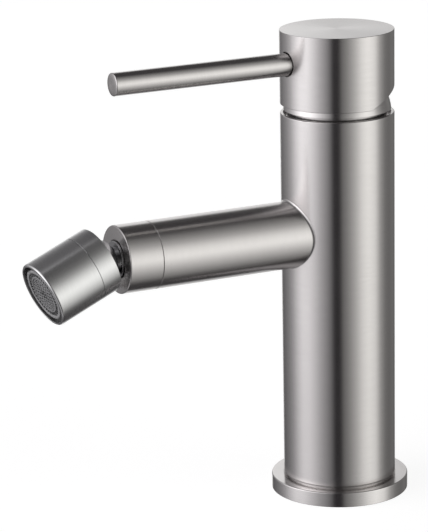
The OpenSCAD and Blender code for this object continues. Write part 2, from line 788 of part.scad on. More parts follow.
module socket_ring() {
    color(steel) on_nozzle() difference() {
        translate([0, 0, -nozzle_rear]) bevelled(ring_r, ring_l, edge, seam_edge);
        sphere(r = socket_r, $fn = fine);
        translate([0, 0, sleeve_spigot_z - slip]) cylinder(r = nozzle_thread_r, h = ring_l, $fn = fine);
    }
}

module nozzle_sleeve() {
    mouth_z = nozzle_front - mouth_gap_depth;
    color(steel) on_nozzle() difference() {
        union() {
            translate([0, 0, ring_front])
                bevelled(nozzle_r, nozzle_front - ring_front, seam_edge, edge / 2);
            translate([0, 0, sleeve_spigot_z])
                cylinder(r = sleeve_spigot_r, h = ring_front - sleeve_spigot_z + over, $fn = fine);
        }
        sphere(r = recess_r, $fn = fine);
        cylinder(r = recess_hole_r, h = nozzle_front, $fn = fine);
        translate([0, 0, gasket_back]) cylinder(r = aerator_bore_r, h = nozzle_front, $fn = fine);
        translate([0, 0, mouth_z]) cylinder(r = mouth_inner_r, h = nozzle_front, $fn = fine);
        translate([0, 0, nozzle_front - mouth_chamfer])
            cylinder(r1 = mouth_inner_r, r2 = mouth_inner_r + mouth_chamfer, h = mouth_chamfer, $fn = fine);
        translate([0, 0, nozzle_front])
            cylinder(r = mouth_inner_r + mouth_chamfer, h = over, $fn = fine);
    }
}

module aerator_housing() {
    color(plastic) on_nozzle() difference() {
        translate([0, 0, aerator_back]) bevelled(aerator_r, aerator_l, 0, seam_edge);
        translate([0, 0, aerator_back - over])
            cylinder(r = aerator_inner_r, h = aerator_l - aerator_lip_t + over, $fn = fine);
        translate([0, 0, aerator_back]) cylinder(r = grille_lip_r, h = aerator_l + over, $fn = fine);
    }
}

// A ring of n holes through a height h
module hole_ring(ring_radius, n, r, h) {
    for (i = [0 : n - 1]) rotate([0, 0, i * 360 / n]) translate([ring_radius, 0, 0]) hole(r, h);
}

module aerator_grille() {
    depth = grille_front - grille_back;
    color(plastic) on_nozzle() translate([0, 0, grille_back]) difference() {
        union() {
            cylinder(r = plate_r, h = grille_flange_t - slip, $fn = fine);
            cylinder(r = grille_lip_r - slip, h = depth, $fn = fine);
        }
        hole_ring(grille_ring_r, grille_ring_n, grille_ring_hole_r, depth);
        for (k = [1 : grille_rings]) hole_ring(k * grille_pitch, 6 * k, grille_hole_r, depth);
        hole(grille_hole_r, depth);
    }
}

module aerator_diffuser() {
    color(plastic) on_nozzle() translate([0, 0, diffuser_front - diffuser_t]) difference() {
        cylinder(r = plate_r, h = diffuser_t, $fn = fine);
        hole_ring(diffuser_outer_ring_r, diffuser_outer_n, plate_hole_r, diffuser_t);
        hole_ring(diffuser_inner_ring_r, diffuser_inner_n, plate_hole_r, diffuser_t);
    }
}

module filter_screen() {
    color(chrome) on_nozzle() translate([0, 0, filter_front - filter_t]) difference() {
        cylinder(r = plate_r, h = filter_t, $fn = fine);
        for (k = [1 : filter_rings])
            hole_ring(k * plate_r / (filter_rings + 1), 6 * k, plate_hole_r, filter_t);
    }
}

module aerator_gasket() {
    color(rubber) on_nozzle() translate([0, 0, gasket_back])
        ring(aerator_r, aerator_gasket_inner_r, aerator_gasket_t);
}

base_flange();
base_gasket();
body_tube();
valve_core();
spout_nipple();
nipple_oring();
spout_tube();
spout_end();
spout_end_oring();
ball_stud();
cartridge_foot();
cartridge_housing();
foot_seals();
disc_seals();
fixed_disc();
moving_disc();
disc_carrier();
cartridge_rotor();
pivot_pin();
spindle();
cartridge_nut();
dome_cover();
handle_cap();
lever_rod();
set_screw();
ball_seat();
socket_ring();
nozzle_sleeve();
aerator_housing();
aerator_grille();
aerator_diffuser();
filter_screen();
aerator_gasket();
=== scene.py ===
"""Looks of a single lever bidet mixer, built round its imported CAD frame.

Sizes are in millimetres and stand in the axis frame of the piece they shape.
Meshes are in metres, in the CAD frame: +Z up, spout and lever towards -Y.
"""
import logging
import math
from dataclasses import dataclass, replace
from enum import Enum
from typing import Any, Iterable

import bmesh
import bpy
from bmesh.types import BMEdge, BMesh, BMVert
from bpy.types import Material, Node, NodeSocket, NodeTree, Object, World
from mathutils import Matrix, Vector


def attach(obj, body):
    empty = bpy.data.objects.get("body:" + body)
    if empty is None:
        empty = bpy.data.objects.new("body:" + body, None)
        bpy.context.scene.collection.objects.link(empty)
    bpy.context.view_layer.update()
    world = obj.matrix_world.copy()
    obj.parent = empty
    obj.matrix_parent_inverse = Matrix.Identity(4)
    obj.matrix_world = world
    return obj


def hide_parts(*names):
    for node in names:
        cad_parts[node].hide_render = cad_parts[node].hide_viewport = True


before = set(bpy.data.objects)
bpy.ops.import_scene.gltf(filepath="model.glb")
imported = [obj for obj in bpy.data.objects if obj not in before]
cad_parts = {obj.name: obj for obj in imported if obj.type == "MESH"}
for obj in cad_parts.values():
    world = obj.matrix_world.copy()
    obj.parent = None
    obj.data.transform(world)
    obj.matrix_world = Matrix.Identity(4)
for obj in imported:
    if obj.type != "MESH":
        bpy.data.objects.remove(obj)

MM = 0.001
# Heights of the spout's and the lever's axes, how far out the ball is, and how the nozzle points
SPOUT_Z = 108.0
LEVER_Z = 176.0
BALL_REACH = 106.0
NOZZLE_SWING_DEG = 4.4
NOZZLE_DROP_DEG = 22.0
# Faces round a turned piece, from the widest pieces to the smallest
FINE, MEDIUM, COARSE, SMALL = 192, 128, 96, 64
# Edges that turn by less than this are shaded smooth
SHARP_ANGLE = math.radians(32)
# The longest step of an arc in an outline
ARC_STEP = math.radians(4)
# A face is a wall, and no top or foot, while its normal's Z is smaller than this
WALL_SLOPE = 0.75
# How near, in millimetres, a vertex lies to a circle that it is on, to its double, and to a plane
NEAR, DOUBLE, FLUSH = 1e-3, 1e-4, 1e-5
# The grain's UV map: millimetres along the outline for one U, and V for one radian of turn
GRAIN_U_MM = 100
GRAIN_V_TURN = 0.2
# How the grain's lines waver across the axis, the scale of the slow cloud for each millimetre,
# and the share of its colour that painted shade leaves in a recess or hollow
GRAIN_WAVER = 0.04
CLOUD_SCALE = 0.06
PAINTED_SHADE_KEEP = 0.06
log = logging.getLogger("mixer")


class Axis(Enum):
    """The four axes that the turned pieces are made on."""

    BODY = "body"
    SPOUT = "spout"
    LEVER = "lever"
    NOZZLE = "nozzle"

    @property
    def matrix(self) -> Matrix:
        """The matrix from the axis frame, in millimetres, to the CAD frame, in metres."""
        ahead = Matrix.Rotation(math.radians(90), 4, "X")
        places = {
            Axis.BODY: Matrix.Identity(4),
            Axis.SPOUT: Matrix.Translation((0, 0, SPOUT_Z)) @ ahead,
            Axis.LEVER: Matrix.Translation((0, 0, LEVER_Z)) @ ahead,
            Axis.NOZZLE: Matrix.Translation((0, -BALL_REACH, SPOUT_Z))
            @ Matrix.Rotation(math.radians(NOZZLE_SWING_DEG), 4, "Z")
            @ Matrix.Rotation(math.radians(90 + NOZZLE_DROP_DEG), 4, "X"),
        }
        return Matrix.Scale(MM, 4) @ places[self]


def linear(hex_colour: str) -> tuple[float, float, float, float]:
    """Turns an sRGB hex colour to linear light.

    Args:
        hex_colour: six hex digits, with or without a leading hash.

    Returns:
        Red, green, blue and an alpha of one.
    """
    digits = hex_colour.lstrip("#")
    parts = [int(digits[i : i + 2], 16) / 255 for i in (0, 2, 4)]
    light = [c / 12.92 if c <= 0.04045 else ((c + 0.055) / 1.055) ** 2.4 for c in parts]
    return light[0], light[1], light[2], 1.0


def add_node(
    tree: NodeTree, kind: str, inputs: dict[Any, Any] | None = None, **settings: Any
) -> Node:
    """Adds a node, sets its properties, and sets or links its inputs.

    A node given for an input stands for its first output.

    Args:
        tree: the node tree that takes the node.
        kind: the node's type name, after ShaderNode.
        inputs: a value, a node or an output socket for each input, by name or number.
        settings: the node's own properties.

    Returns:
        The new node.
    """
    node = tree.nodes.new(f"ShaderNode{kind}")
    for name, value in settings.items():
        setattr(node, name, value)
    for key, value in (inputs or {}).items():
        if isinstance(value, (Node, NodeSocket)):
            source = value.outputs[0] if isinstance(value, Node) else value
            tree.links.new(source, node.inputs[key])
        else:
            node.inputs[key].default_value = value
    return node


def empty_tree(owner: Material | World) -> NodeTree:
    """Gives a material or a world an empty node tree."""
    owner.use_nodes = True
    owner.node_tree.nodes.clear()
    return owner.node_tree


@dataclass(frozen=True)
class Finish:
    """A surface finish: what it is made of and how it was worked.

    The grain is a fine pattern whose pitch is its real spacing in millimetres, between a light
    and a dark colour. The roughness varies slowly by its spread either way. With recess, two
    heights along the axis, painted shade darkens the colour to nearly black from the upper height
    to the lower. With hollow, two radii about the axis, the painted shade does so from the outer
    radius to the inner.
    """

    name: str
    light: str
    dark: str
    roughness: float
    roughness_spread: float
    grain_mm: float
    grain_depth_mm: float
    metallic: float = 0.0
    anisotropy: float = 0.0
    recess: tuple[float, float] | None = None
    shaded_hollow: tuple[float, float] | None = None

    def material(self, axis: Axis = Axis.BODY) -> Material:
        """Builds the material with its grain turned about an axis.

        Args:
            axis: the axis that the piece was turned on.

        Returns:
            The material, made once for each axis.
        """
        name = f"{self.name}_{axis.value}"
        known = bpy.data.materials.get(name)
        if known:
            return known
        material = bpy.data.materials.new(name)
        tree = empty_tree(material)
        grain, cloud, height, radius = self._patterns(tree, axis)
        colour = add_node(
            tree,
            "Mix",
            {"Factor": grain, "A": linear(self.dark), "B": linear(self.light)},
            data_type="RGBA",
        )
        paint = colour.outputs["Result"]
        # Painted shade: the colour sinks to nearly black down into a recess's heights and a
        # hollow's radii
        for limits, measure in ((self.recess, height), (self.shaded_hollow, radius)):
            if not limits:
                continue
            low, high = limits
            shade = add_node(
                tree,
                "MapRange",
                {"Value": measure, "From Min": low, "From Max": high, "To Min": PAINTED_SHADE_KEEP},
            )
            paint = add_node(tree, "VectorMath", {0: paint, "Scale": shade}, operation="SCALE")
        spread = add_node(
            tree,
            "MapRange",
            {
                "Value": cloud,
                "To Min": self.roughness - self.roughness_spread,
                "To Max": self.roughness + self.roughness_spread,
            },
        )
        bump = add_node(
            tree, "Bump", {"Height": grain, "Distance": self.grain_depth_mm * MM, "Strength": 1.0}
        )
        shader = add_node(
            tree,
            "BsdfPrincipled",
            {
                "Base Color": paint,
                "Metallic": self.metallic,
                "Roughness": spread,
                "Normal": bump,
                "Anisotropic": self.anisotropy,
            },
        )
        if self.anisotropy:
            tangent = add_node(tree, "Tangent", direction_type="UV_MAP", uv_map="grain")
            tree.links.new(tangent.outputs["Tangent"], shader.inputs["Tangent"])
        add_node(tree, "OutputMaterial", {"Surface": shader})
        return material

    def _patterns(self, tree: NodeTree, axis: Axis) -> tuple[Node, Node, NodeSocket, NodeSocket]:
        """Adds the grain, a slow cloud that varies the gloss, and the two measures.

        Args:
            tree: the material's node tree.
            axis: the axis that the grain runs round.

        Returns:
            The grain, the cloud, the height along the axis and the radius about it.
        """
        inverse = axis.matrix.inverted()
        spot = add_node(tree, "TexCoord")
        place = add_node(
            tree,
            "Mapping",
            {
                "Vector": spot.outputs["Object"],
                "Location": inverse.to_translation(),
                "Rotation": inverse.to_euler(),
                "Scale": (1 / MM, 1 / MM, 1 / MM),
            },
        )
        parts = add_node(tree, "SeparateXYZ", {"Vector": place})
        flat = add_node(tree, "CombineXYZ", {"X": parts.outputs["X"], "Y": parts.outputs["Y"]})
        radius = add_node(tree, "VectorMath", {0: flat}, operation="LENGTH")
        height, reach = parts.outputs["Z"], radius.outputs["Value"]
        run = add_node(tree, "Math", {0: height, 1: reach}, operation="ADD")
        slow = add_node(tree, "VectorMath", {0: flat, "Scale": GRAIN_WAVER}, operation="SCALE")
        turned = add_node(tree, "CombineXYZ", {"Z": run})
        lines = add_node(tree, "VectorMath", {0: turned, 1: slow}, operation="ADD")
        grain = add_node(
            tree, "TexNoise", {"Vector": lines, "Scale": 1 / self.grain_mm, "Detail": 3.0}
        )
        cloud = add_node(tree, "TexNoise", {"Vector": place, "Scale": CLOUD_SCALE, "Detail": 2.0})
        return grain, cloud, height, reach


# Stainless steel turned and then brushed round the axis: satin, its light drawn out along the axis
BRUSHED_STEEL = Finish(
    "brushed_steel", "#d3d0cf", "#c8c5c4", roughness=0.227, roughness_spread=0.02,
    grain_mm=0.25, grain_depth_mm=0.0002, metallic=1.0, anisotropy=0.5,
)
# The flange's steel, turned finely: a little sharper than the body's
FINE_STEEL = replace(
    BRUSHED_STEEL, name="fine_turned_steel", light="#dedbda", dark="#d3d0cf", roughness=0.185
)
# The nozzle's steel, blasted finely before it was brushed: paler and a little softer
SATIN_STEEL = replace(
    BRUSHED_STEEL, name="satin_steel", light="#dddddd", dark="#d2d2d2", roughness=0.245,
    anisotropy=0.42,
)
# The same steel with painted shade in its bore, nearly black inside the mouth,
# so that the gap round the aerator reads as deep
PAINTED_SHADE_BORE_STEEL = replace(SATIN_STEEL, name="satin_steel_painted_bore_shade", shaded_hollow=(12.0, 12.14))
# Drawn steel of small parts: as the brushed steel, without a UV map to follow
DRAWN_STEEL = Finish(
    "drawn_steel", "#cfcdcb", "#c2c0be", roughness=0.3, roughness_spread=0.03,
    grain_mm=0.3, grain_depth_mm=0.001, metallic=1.0,
)
# Polished chrome plate: a nearly clear mirror with faint polishing marks
CHROME = Finish(
    "polished_chrome", "#b4b4b5", "#adadae", roughness=0.15, roughness_spread=0.02,
    grain_mm=0.4, grain_depth_mm=0.00002, metallic=1.0, anisotropy=0.3,
)
# Machined brass: warm, with fine tool marks
BRASS = Finish(
    "machined_brass", "#d8b266", "#c89f55", roughness=0.3, roughness_spread=0.05,
    grain_mm=0.3, grain_depth_mm=0.002, metallic=1.0,
)
# Acetal moulding of the aerator and the cartridge: matt grey with a faint spark eroded skin
GREY_PLASTIC = Finish(
    "moulded_acetal", "#9d9d9e", "#919192", roughness=0.42, roughness_spread=0.05,
    grain_mm=0.15, grain_depth_mm=0.004,
)
# The grille's acetal, with painted shade in its openings and fine grooves:
# nearly black below the plate's face
GRILLE_PLASTIC_PAINTED_SHADE = replace(
    GREY_PLASTIC, name="grille_acetal_painted_shade", light="#b0b0b1", dark="#a4a4a5", recess=(23.62, 23.74)
)
# Bright acetal of the aerator's housing: the same moulding, paler and with a little gloss
PALE_PLASTIC = Finish(
    "glossy_acetal", "#c6c6c7", "#bbbbbc", roughness=0.3, roughness_spread=0.04,
    grain_mm=0.2, grain_depth_mm=0.002,
)
# Lapped alumina discs: off-white and smooth
CERAMIC = Finish(
    "lapped_ceramic", "#ebe8e1", "#e6e2da", roughness=0.2, roughness_spread=0.03,
    grain_mm=0.3, grain_depth_mm=0.001,
)
# Nitrile rubber of the seals: nearly black, with a dull skin
RUBBER = Finish(
    "nitrile_rubber", "#29292b", "#222224", roughness=0.6, roughness_spread=0.06,
    grain_mm=0.2, grain_depth_mm=0.006,
)


@dataclass(frozen=True)
class Corner:
    """A corner of a turned outline.

    r and z are its radius and its height along the axis, and bevel its width.
    With about, a point's radius and height, the outline reaches it on an arc round that point.
    """

    r: float
    z: float
    bevel: float = 0.0
    about: tuple[float, float] | None = None


def round_edges(bm: BMesh, edges: list[BMEdge], width: float) -> None:
    """Rounds edges of a mesh.

    Args:
        bm: the mesh.
        edges: the edges to round.
        width: how far the rounding reaches from the edge, in millimetres.
    """
    bmesh.ops.bevel(
        bm,
        geom=edges,
        offset=width,
        offset_type="OFFSET",
        segments=3,
        profile=0.5,
        affect="EDGES",
        material=-1,
        clamp_overlap=True,
    )


class Turning:
    """A solid of revolution, turned about the Z of its axis frame with bmesh operators."""

    def __init__(self, corners: list[Corner], closed: bool = True, steps: int = FINE) -> None:
        """Turns an outline into a solid.

        Args:
            corners: the outline in order.
            closed: whether the last corner joins the first.
            steps: the number of faces round the axis.
        """
        self.bm = bmesh.new()
        self.corners = corners
        self.steps = steps
        last = first = self.bm.verts.new((corners[0].r, 0, corners[0].z))
        for corner in corners[1:]:
            last = self._reach(last, corner)
        if closed:
            if corners[0].about:
                last = self._reach(last, corners[0])
                bmesh.ops.pointmerge(self.bm, verts=[first, last], merge_co=first.co.copy())
            else:
                self.bm.edges.new((last, first))
        self._spin()
        self._bevel()

    def _reach(self, last: BMVert, corner: Corner) -> BMVert:
        """Draws the outline on from its last vertex to a corner."""
        if not corner.about:
            grown = bmesh.ops.extrude_vert_indiv(self.bm, verts=[last])
            grown["verts"][0].co = (corner.r, 0, corner.z)
            return grown["verts"][0]
        middle_r, middle_z = corner.about
        start = math.atan2(last.co.z - middle_z, last.co.x - middle_r)
        end = math.atan2(corner.z - middle_z, corner.r - middle_r)
        swing = (end - start + math.pi) % math.tau - math.pi
        spun = bmesh.ops.spin(
            self.bm,
            geom=[last],
            cent=(middle_r, 0, middle_z),
            axis=(0, -1, 0),
            angle=swing,
            steps=max(3, round(abs(swing) / ARC_STEP)),
        )
        return next(g for g in spun["geom_last"] if isinstance(g, BMVert))

    def _spin(self) -> None:
        """Spins the outline a full turn and closes it on the axis."""
        bmesh.ops.spin(
            self.bm,
            geom=self.bm.verts[:] + self.bm.edges[:],
            cent=(0, 0, 0),
            axis=(0, 0, 1),
            angle=math.tau,
            steps=self.steps,
            use_merge=True,
        )
        bmesh.ops.remove_doubles(self.bm, verts=self.bm.verts[:], dist=DOUBLE)
        bmesh.ops.dissolve_degenerate(self.bm, dist=FLUSH, edges=self.bm.edges[:])
        bmesh.ops.recalc_face_normals(self.bm, faces=self.bm.faces[:])

    def _bevel(self) -> None:
        """Rounds the corners that have a bevel."""
        for corner in self.corners:
            if not corner.bevel:
                continue
            ring = [e for e in self.bm.edges if all(self._on(v, corner) for v in e.verts)]
            round_edges(self.bm, ring, corner.bevel)

    @staticmethod
    def _on(vert: BMVert, corner: Corner) -> bool:
        """Says whether a vertex lies on a corner's circle."""
        reach = math.hypot(vert.co.x, vert.co.y)
        return abs(reach - corner.r) < NEAR and abs(vert.co.z - corner.z) < NEAR

    def cut(self, point: tuple[float, float, float], normal: tuple[float, float, float]) -> None:
        """Cuts the solid off below a plane and closes the cut.

        Args:
            point: a point of the plane.
            normal: points to the side that stays.
        """
        geometry = self.bm.verts[:] + self.bm.edges[:] + self.bm.faces[:]
        bmesh.ops.bisect_plane(
            self.bm, geom=geometry, dist=FLUSH, plane_co=point, plane_no=normal, clear_inner=True
        )
        open_edges = [e for e in self.bm.edges if e.is_boundary]
        bmesh.ops.contextual_create(self.bm, geom=open_edges)
        bmesh.ops.recalc_face_normals(self.bm, faces=self.bm.faces[:])


def plug(radius: float, start: float, end: float, axis: Axis, steps: int = COARSE) -> BMesh:
    """Turns a plain round cutter for a piece that is turned on the body's axis.

    Args:
        radius: the plug's radius.
        start: where it starts along its own axis.
        end: where it ends.
        axis: its own axis.
        steps: the number of faces round it.

    Returns:
        The plug in the body's axis frame.
    """
    outline = [Corner(0, start), Corner(radius, start), Corner(radius, end), Corner(0, end)]
    bm = Turning(outline, closed=False, steps=steps).bm
    to_body = Axis.BODY.matrix.inverted() @ axis.matrix
    bmesh.ops.transform(bm, matrix=to_body, verts=bm.verts[:])
    return bm


def lay_grain(bm: BMesh) -> None:
    """Lays a UV map whose U runs along the turned outline and V round the axis.

    Args:
        bm: a mesh in its axis frame, in millimetres.
    """
    layer = bm.loops.layers.uv.new("grain")
    for face in bm.faces:
        centre = face.calc_center_median()
        middle = math.atan2(centre.y, centre.x)
        wall = abs(face.normal.z) < WALL_SLOPE
        for loop in face.loops:
            x, y, z = loop.vert.co
            reach = math.hypot(x, y)
            turn = math.atan2(y, x) if reach > NEAR else middle
            turn = middle + (turn - middle + math.pi) % math.tau - math.pi
            loop[layer].uv = ((z if wall else reach) / GRAIN_U_MM, turn * GRAIN_V_TURN)


def finish_mesh(bm: BMesh, name: str, axis: Axis, cutters: Iterable[BMesh] = ()) -> Object:
    """Makes a piece of a mesh that was shaped in its axis frame.

    Args:
        bm: the mesh, which is used up.
        name: the piece's name.
        axis: the axis that it was turned on.
        cutters: meshes in the same frame that are cut out of it.

    Returns:
        The piece, at the origin, with its place in its mesh.
    """
    piece = _mesh_object(bm, name)
    for cutter in cutters:
        tool = _mesh_object(cutter, f"{name}_cutter")
        modifier = piece.modifiers.new("cut", "BOOLEAN")
        modifier.object = tool
        modifier.operation = "DIFFERENCE"
        modifier.solver = "EXACT"
        _apply(piece)
        bpy.data.objects.remove(tool)
    shaped = bmesh.new()
    shaped.from_mesh(piece.data)
    lay_grain(shaped)
    for face in shaped.faces:
        face.smooth = True
    for edge in shaped.edges:
        edge.smooth = edge.is_manifold and edge.calc_face_angle(0.0) < SHARP_ANGLE
    bmesh.ops.transform(shaped, matrix=axis.matrix, verts=shaped.verts[:])
    shaped.to_mesh(piece.data)
    shaped.free()
    weights = piece.modifiers.new("even_normals", "WEIGHTED_NORMAL")
    weights.keep_sharp = True
    weights.weight = 100
    return piece


def _mesh_object(bm: BMesh, name: str) -> Object:
    """Makes an object of a bmesh, which is freed."""
    mesh = bpy.data.meshes.new(name)
    bm.to_mesh(mesh)
    bm.free()
    thing = bpy.data.objects.new(name, mesh)
    bpy.context.scene.collection.objects.link(thing)
    return thing


def _apply(piece: Object) -> None:
    """Replaces a piece's mesh by what its modifiers make of it."""
    bpy.context.view_layer.update()
    graph = bpy.context.evaluated_depsgraph_get()
    made = bpy.data.meshes.new_from_object(piece.evaluated_get(graph))
    piece.modifiers.clear()
    piece.data = made


class SubAssembly:
    """Pieces of the mixer that belong together."""

    def make(
        self,
        bm: BMesh,
        name: str,
        axis: Axis,
        finish: Finish,
        node: str,
        body: str = "body",
        slot: str = "brushed_steel",
        cutters: Iterable[BMesh] = (),
    ) -> None:
        """Makes a piece of a mesh, with its finish, its body and the CAD node it stands for.

        Args:
            bm: the mesh in its axis frame, which is used up.
            name: the piece's name.
            axis: the axis that it was turned on, and that its grain runs round.
            finish: its surface finish.
            node: the CAD node that it replaces.
            body: the body that it rides on.
            slot: the name of a material slot; not used.
            cutters: meshes in the same frame that are cut out of it.
        """
        piece = finish_mesh(bm, name, axis, cutters)
        piece.data.materials.clear()
        piece.data.materials.append(finish.material(axis))
        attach(piece, body)
        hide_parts(node)
        log.info("%s: %d faces, rides on %s", piece.name, len(piece.data.polygons), body)

    def keep(self, node: str, finish: Finish, axis: Axis = Axis.BODY) -> None:
        """Keeps a CAD node's shape and gives it a finish."""
        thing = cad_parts[node]
        for slot in thing.material_slots:
            slot.material = finish.material(axis)
        log.info("%s: CAD shape kept, %s", node, finish.name)


@dataclass
class Base(SubAssembly):
    """The flange on the deck and its gasket."""

    radius: float = 27.5
    thickness: float = 6.0
    lip_thickness: float = 2.6
    lip_radius: float = 18.95
    pocket_radius: float = 22.55
    groove_inner: float = 22.36
    groove_outer: float = 26.05
    groove_depth: float = 2.05
    edge: float = 0.4
    pocket_edge: float = 0.12

    def build(self) -> None:
        """Builds the flange and dresses the gasket."""
        outline = [
            Corner(self.lip_radius, 0),
            Corner(self.groove_inner, 0),
            Corner(self.groove_inner, self.groove_depth),
            Corner(self.groove_outer, self.groove_depth),
            Corner(self.groove_outer, 0),
            Corner(self.radius, 0, self.edge / 2),
            Corner(self.radius, self.thickness, self.edge),
            Corner(self.pocket_radius, self.thickness, self.pocket_edge),
            Corner(self.pocket_radius, self.lip_thickness),
            Corner(self.lip_radius, self.lip_thickness),
        ]
        flange = Turning(outline).bm
        self.make(flange, "flange_turned", Axis.BODY, FINE_STEEL, "base_flange")
        self.keep("base_gasket", RUBBER)


@dataclass
class Body(SubAssembly):
    """The body tube with the valve core inside it."""

    radius: float = 22.5
    bore: float = 20.2
    foot_z: float = 2.6
    groove_radius: float = 21.3
    groove_foot: float = 5.8
    groove_top: float = 7.0
    rim_z: float = 155.2
    mouth_radius: float = 21.2
    mouth_z: float = 151.3
    nipple_radius: float = 7.5
    nipple_reach: float = 40.0
    spout_band: float = 12.0
    edge: float = 0.4
    groove_edge: float = 0.12
    mouth_edge: float = 0.15

    def build(self) -> None:
        """Builds the tube and dresses the core."""
        outline = [
            Corner(self.bore, self.foot_z),
            Corner(self.radius, self.foot_z),
            Corner(self.radius, self.groove_foot),
            Corner(self.groove_radius, self.groove_foot),
            Corner(self.groove_radius, self.groove_top),
            Corner(self.radius, self.groove_top, self.groove_edge),
            Corner(self.radius, SPOUT_Z - self.spout_band),
            Corner(self.radius, SPOUT_Z + self.spout_band),
            Corner(self.radius, self.rim_z, self.edge),
            Corner(self.mouth_radius, self.rim_z, self.mouth_edge),
            Corner(self.mouth_radius, self.mouth_z),
            Corner(self.bore, self.mouth_z),
        ]
        hole = plug(self.nipple_radius, 0, self.nipple_reach, Axis.SPOUT, SMALL)
        tube = Turning(outline).bm
        self.make(tube, "body_tube_turned", Axis.BODY, BRUSHED_STEEL, "body_tube", cutters=[hole])
        self.keep("valve_core", BRASS)


@dataclass
class Spout(SubAssembly):
    """The spout tube, its end piece and the nipple that holds it."""

    radius: float = 13.3
    bore: float = 11.8
    body_radius: float = 22.55
    seam: float = 82.8
    reach: float = 96.8
    spigot_start: float = 73.8
    spigot_radius: float = 11.75
    groove_radius: float = 10.2
    groove_half: float = 0.8
    cavity_radius: float = 9.3
    cavity_end: float = 91.3
    thread_radius: float = 6.95
    collar_gap_radius: float = 7.85
    collar_depth: float = 0.9
    root: float = 18.0
    weld: float = 1.0
    weld_side: float = 0.62
    weld_slack: float = 0.01
    tube_ring: float = 32.0
    seam_gap: float = 0.22
    seam_depth: float = 0.6
    edge: float = 0.4
    seam_edge: float = 0.12
    collar_edge: float = 0.1

    def build(self) -> None:
        """Builds the tube and the end piece and dresses the rest."""
        self.make(self._tube(), "spout_tube_turned", Axis.SPOUT, BRUSHED_STEEL, "spout_tube")
        self.make(self._end(), "spout_end_turned", Axis.SPOUT, BRUSHED_STEEL, "spout_end")
        self.keep("spout_nipple", BRASS, Axis.SPOUT)
        self.keep("nipple_oring", RUBBER, Axis.SPOUT)
        self.keep("spout_end_oring", RUBBER, Axis.SPOUT)

    def _tube(self) -> BMesh:
        """Turns the tube and fits its root, with the blended weld, to the round body.

        The weld is fullest on top and fades to the underside.
        """
        flared = self.radius + self.weld
        outline = [
            Corner(self.bore, self.root),
            Corner(flared, self.root),
            Corner(self.radius, self.root + self.weld, about=(flared, self.root + self.weld)),
            Corner(self.radius, self.tube_ring),
            Corner(self.radius, self.seam, self.seam_edge),
            Corner(self.bore, self.seam),
        ]
        bm = Turning(outline).bm
        for vert in bm.verts:
            rise = vert.co.z - self.root
            if rise > self.weld + self.weld_slack:
                continue
            reach = math.hypot(vert.co.x, vert.co.y)
            full = self.weld_side + (1 - self.weld_side) * vert.co.y / reach
            shrink = min(1.0, (self.radius + (reach - self.radius) * full) / reach)
            vert.co.x *= shrink
            vert.co.y *= shrink
            vert.co.z = math.sqrt(self.body_radius**2 - vert.co.x**2) + rise * full
        return bm

    def _end(self) -> BMesh:
        """Turns the end piece with its spigot, groove, cavity and collar seat."""
        middle = (self.spigot_start + self.seam) / 2
        seat = self.reach - self.collar_depth
        outline = [
            Corner(self.thread_radius, self.cavity_end),
            Corner(self.cavity_radius, self.cavity_end),
            Corner(self.cavity_radius, self.spigot_start),
            Corner(self.spigot_radius, self.spigot_start, self.seam_edge),
            Corner(self.spigot_radius, middle - self.groove_half),
            Corner(self.groove_radius, middle - self.groove_half),
            Corner(self.groove_radius, middle + self.groove_half),
            Corner(self.spigot_radius, middle + self.groove_half),
            Corner(self.spigot_radius, self.seam),
            Corner(self.radius - self.seam_depth, self.seam),
            Corner(self.radius - self.seam_depth, self.seam + self.seam_gap),
            Corner(self.radius, self.seam + self.seam_gap, self.seam_edge),
            Corner(self.radius, self.reach, self.edge),
            Corner(self.collar_gap_radius, self.reach, self.collar_edge),
            Corner(self.collar_gap_radius, seat),
            Corner(self.thread_radius, seat),
        ]
        return Turning(outline).bm


@dataclass
class BallJoint(SubAssembly):
    """The ball stud and the seat ring round it."""

    centre: float = BALL_REACH
    radius: float = 9.1
    bore: float = 3.2
    neck: float = 5.0
    collar_radius: float = 7.4
    collar_start: float = 95.95
    collar_end: float = 97.7
    shank_radius: float = 6.9
    shank_start: float = 86.45
    edge: float = 0.2

    def build(self) -> None:
        """Builds the ball stud and dresses the seat ring."""
        behind = math.sqrt(self.radius**2 - self.neck**2)
        ahead = math.sqrt(self.radius**2 - self.bore**2)
        outline = [
            Corner(self.bore, self.shank_start),
            Corner(self.shank_radius, self.shank_start, self.edge),
            Corner(self.shank_radius, self.collar_start),
            Corner(self.collar_radius, self.collar_start),
            Corner(self.collar_radius, self.collar_end, self.edge),
            Corner(self.neck, self.collar_end),
            Corner(self.neck, self.centre - behind),
            Corner(self.bore, self.centre + ahead, about=(0, self.centre)),
        ]
        stud = Turning(outline, steps=MEDIUM).bm
        self.make(stud, "ball_stud_turned", Axis.SPOUT, CHROME, "ball_stud", slot="chrome")
        self.keep("ball_seat", RUBBER, Axis.SPOUT)


